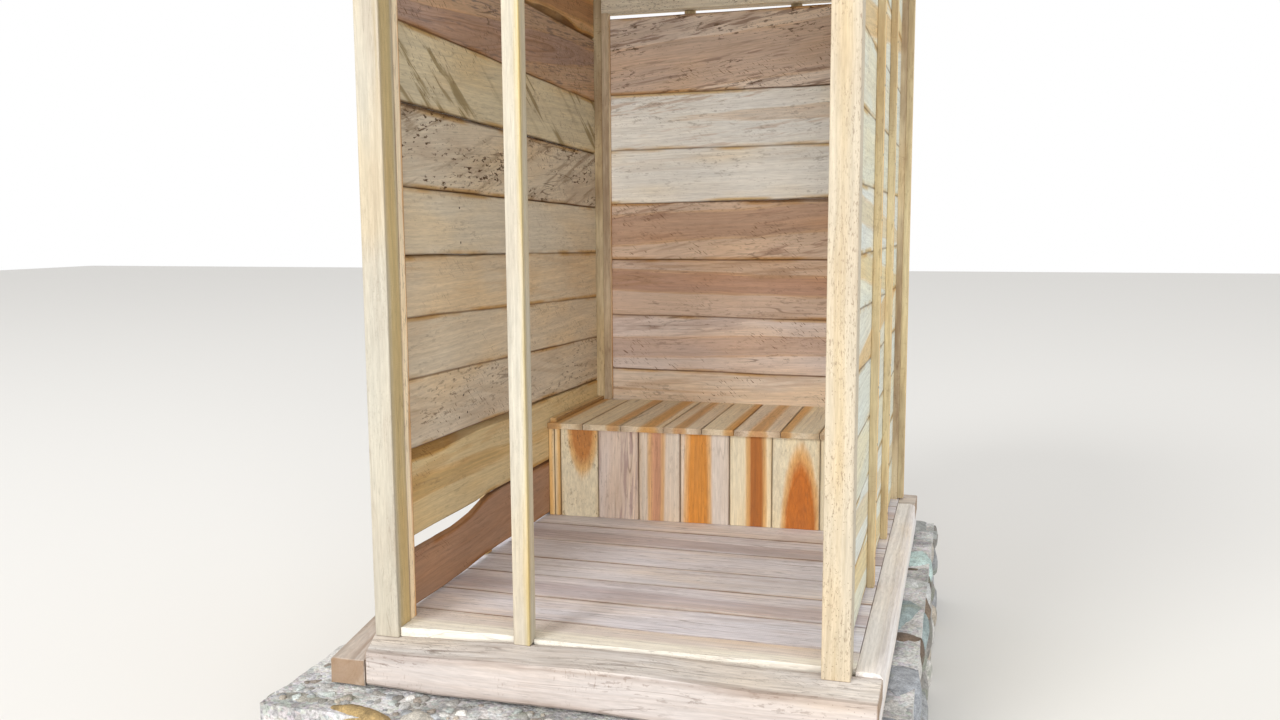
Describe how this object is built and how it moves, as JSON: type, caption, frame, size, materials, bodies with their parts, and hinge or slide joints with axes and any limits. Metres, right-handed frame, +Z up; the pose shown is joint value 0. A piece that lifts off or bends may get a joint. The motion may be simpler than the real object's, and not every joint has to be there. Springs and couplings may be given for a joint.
{
  "type": "plank hut",
  "caption": "Small open-fronted timber hut of sawn planks between square posts, with a board floor, a bench along the back and a pitched board roof, on a mortared rubble plinth.",
  "frame": {"origin": "middle of the underside of the stone plinth", "axes": "+X to the right seen from the open front, +Y from the open front to the back wall, +Z up"},
  "size_m": [1.553, 2.115, 2.5785],
  "materials": {
    "rubble_stone": "rough rubble in lime mortar",
    "sapwood_post": "planed, oiled",
    "plank_wall": "rough sawn",
    "batten_wood": "rough sawn",
    "bench_wood": "planed",
    "weathered_sill": "hewn, weathered",
    "floor_wood": "worn",
    "roof_wood": "rough sawn"
  },
  "bodies": {
    "root": {"stone_plinth": "rubble_stone", "front_sill": "weathered_sill", "left_sill": "weathered_sill", "right_sill": "weathered_sill", "back_sill": "weathered_sill", "floor_boards": "floor_wood", "front_left_post": "sapwood_post", "front_right_post": "sapwood_post", "back_left_post": "sapwood_post", "back_right_post": "sapwood_post", "door_stud": "sapwood_post", "front_top_rail": "sapwood_post", "back_top_rail": "sapwood_post", "left_top_plate": "sapwood_post", "right_top_plate": "sapwood_post", "left_wall_planks": "plank_wall", "right_wall_planks": "plank_wall", "back_wall_planks": "plank_wall", "left_front_inner_batten": "batten_wood", "right_front_inner_batten": "batten_wood", "left_corner_batten": "batten_wood", "right_corner_batten": "batten_wood", "left_back_inner_batten": "batten_wood", "right_back_inner_batten": "batten_wood", "left_outer_batten_front": "batten_wood", "right_outer_batten_front": "batten_wood", "left_outer_batten_rear": "batten_wood", "right_outer_batten_rear": "batten_wood", "left_back_outer_batten": "batten_wood", "right_back_outer_batten": "batten_wood", "bench_front_boards": "bench_wood", "bench_top_boards": "bench_wood", "bench_strips_left": "bench_wood", "bench_strips_right": "bench_wood", "bench_front_rail": "batten_wood", "bench_back_rail": "batten_wood", "bench_wall_batten": "batten_wood", "roof_purlin_1": "roof_wood", "roof_purlin_2": "roof_wood", "roof_purlin_3": "roof_wood", "roof_boards": "roof_wood", "roof_battens": "roof_wood"}
  },
  "joints": []
}
